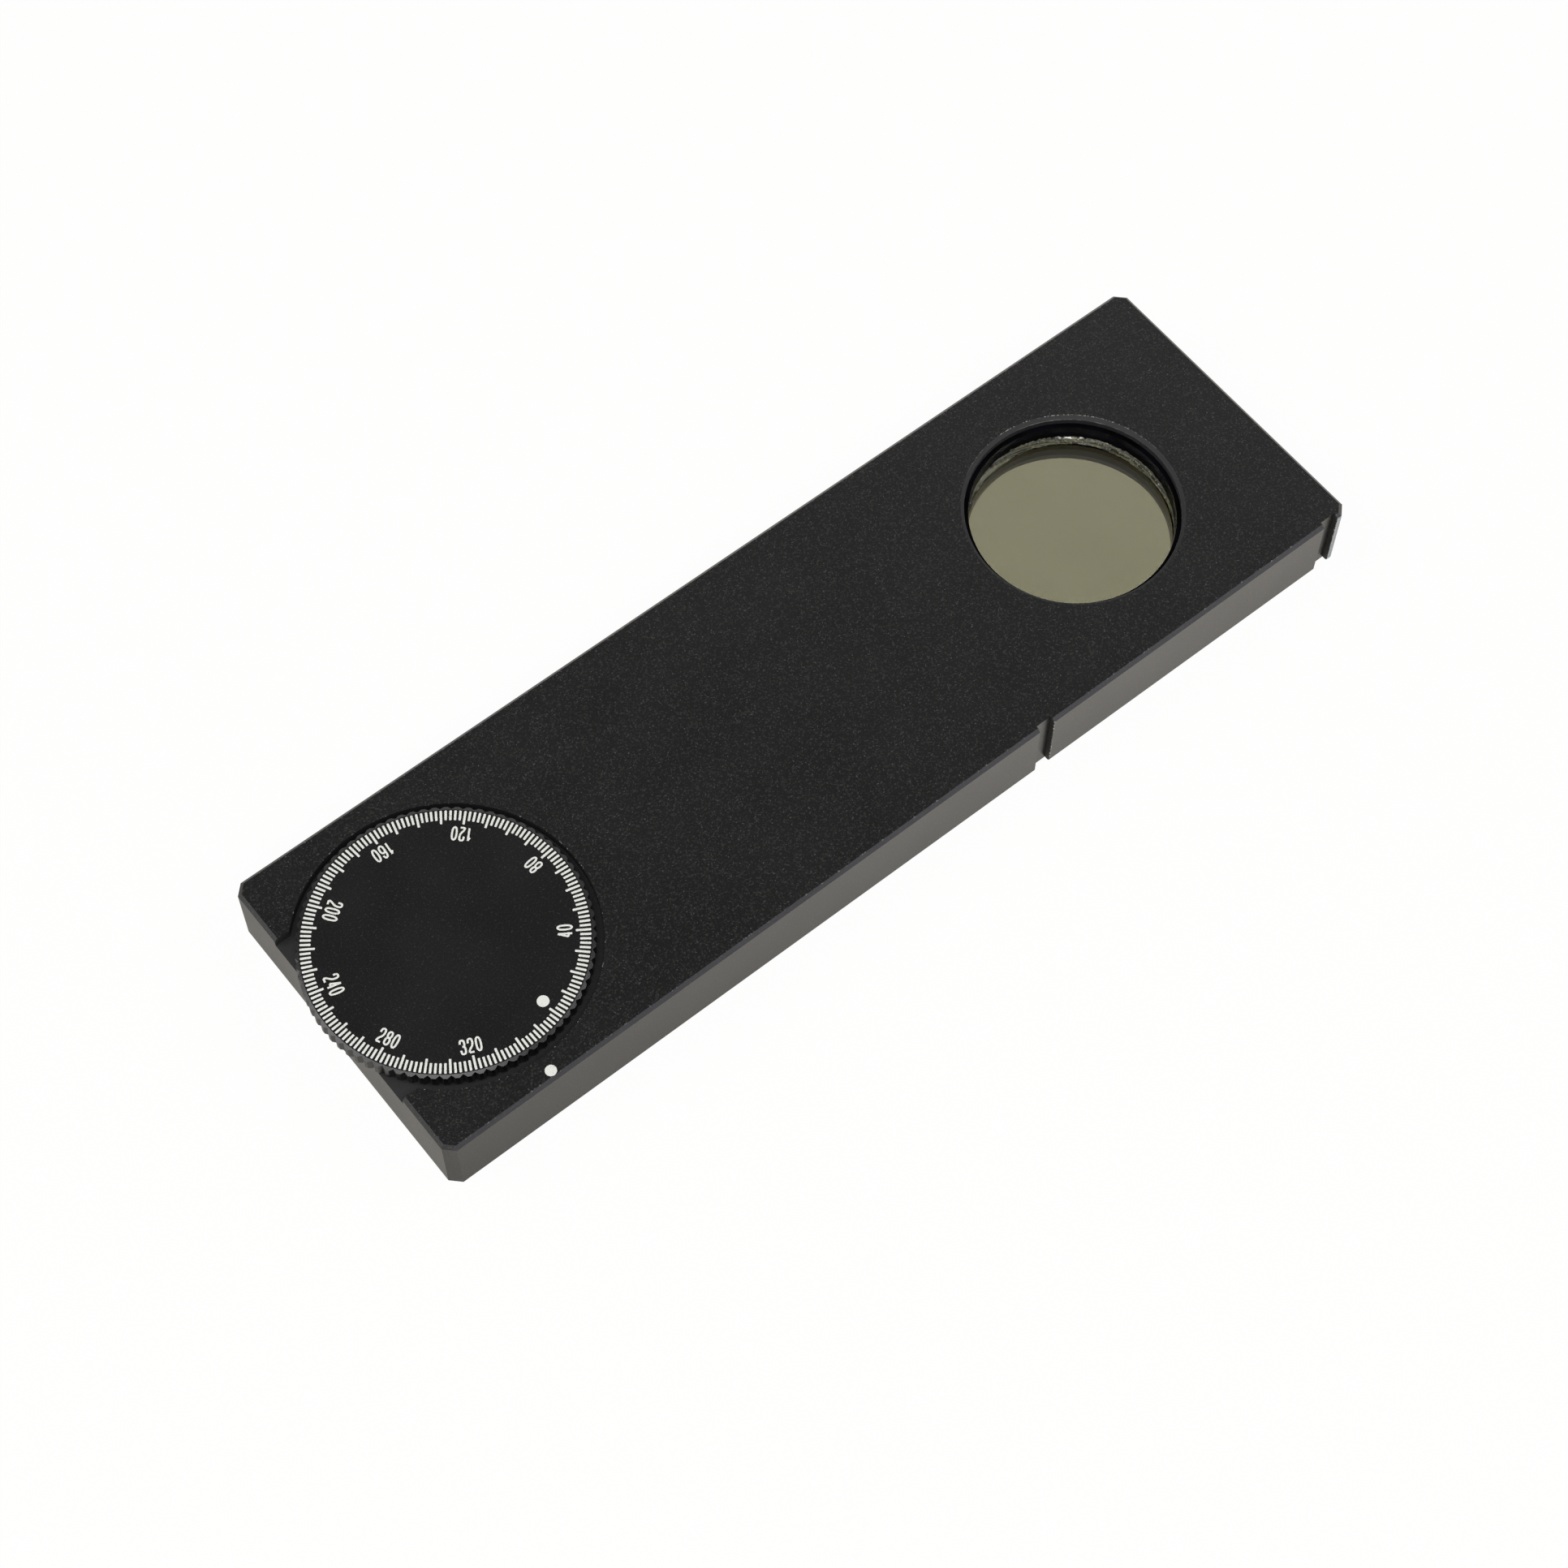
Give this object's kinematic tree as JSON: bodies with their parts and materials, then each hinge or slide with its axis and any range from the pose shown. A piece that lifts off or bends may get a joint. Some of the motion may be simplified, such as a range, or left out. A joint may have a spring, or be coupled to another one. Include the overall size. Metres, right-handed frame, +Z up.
{
  "type": "polarization analyzer",
  "caption": "Flat analyzer slider for a microscope: a fluted dial at one end turns a round polarizing window at the other through hidden gears.",
  "frame": {"origin": "middle of the underside, with the dial's overhang counted in the length", "axes": "+X along the slider from the dial end to the window end, +Z up out of the face with the dial"},
  "size_m": [0.124, 0.038, 0.0098],
  "materials": {
    "anodised_body": "black anodised, fine satin",
    "anodised_cover": "black anodised, fine satin",
    "anodised_dial": "black anodised, printed scale",
    "anodised_cell": "black anodised, turned",
    "anodised_ring": "black anodised, turned",
    "screw_steel": "black oxide",
    "spindle_steel": "ground steel",
    "pin_steel": "ground steel",
    "washer_plastic": "low-friction plastic",
    "gear_brass": "hobbed brass",
    "cover_glass": "polished",
    "polarizing_film": "neutral polarizing film"
  },
  "bodies": {
    "slider": {"slider_body": "anodised_body", "cover_plate": "anodised_cover", "cover_screws": "screw_steel", "dial_washer": "washer_plastic", "cluster_pin": "pin_steel", "idler_pin_1": "pin_steel", "idler_pin_2": "pin_steel"},
    "dial_group": {"dial": "anodised_dial", "dial_spindle": "spindle_steel", "drive_gear": "gear_brass", "drive_screw": "screw_steel"},
    "cluster": {"cluster_pinion": "gear_brass", "cluster_wheel": "gear_brass"},
    "idler_1": {"idler_gear_1": "gear_brass"},
    "idler_2": {"idler_gear_2": "gear_brass"},
    "cell_group": {"analyzer_cell": "anodised_cell", "upper_glass": "cover_glass", "polarizing_film": "polarizing_film", "lower_glass": "cover_glass", "retaining_ring": "anodised_ring"}
  },
  "joints": [
    {"name": "dial_turn", "type": "hinge", "parent": "slider", "child": "dial_group", "pos_m": [-0.04665, 0, 0.0089], "axis": [0, 0, 1], "continuous": true},
    {"name": "cluster_turn", "type": "hinge", "parent": "slider", "child": "cluster", "pos_m": [-0.02865, 0, 0.004], "axis": [0, 0, 1], "continuous": true},
    {"name": "idler_1_turn", "type": "hinge", "parent": "slider", "child": "idler_1", "pos_m": [-0.00665, 0, 0.005], "axis": [0, 0, 1], "continuous": true},
    {"name": "idler_2_turn", "type": "hinge", "parent": "slider", "child": "idler_2", "pos_m": [0.01335, 0, 0.005], "axis": [0, 0, 1], "continuous": true},
    {"name": "window_turn", "type": "hinge", "parent": "slider", "child": "cell_group", "pos_m": [0.03835, 0, 0.0035], "axis": [0, 0, 1], "continuous": true}
  ],
  "couplings": [
    {"joint": "cluster_turn", "follows": "dial_turn", "ratio": -1.25},
    {"joint": "idler_1_turn", "follows": "dial_turn", "ratio": 1.5},
    {"joint": "idler_2_turn", "follows": "dial_turn", "ratio": -1.5},
    {"joint": "window_turn", "follows": "dial_turn", "ratio": 1}
  ]
}
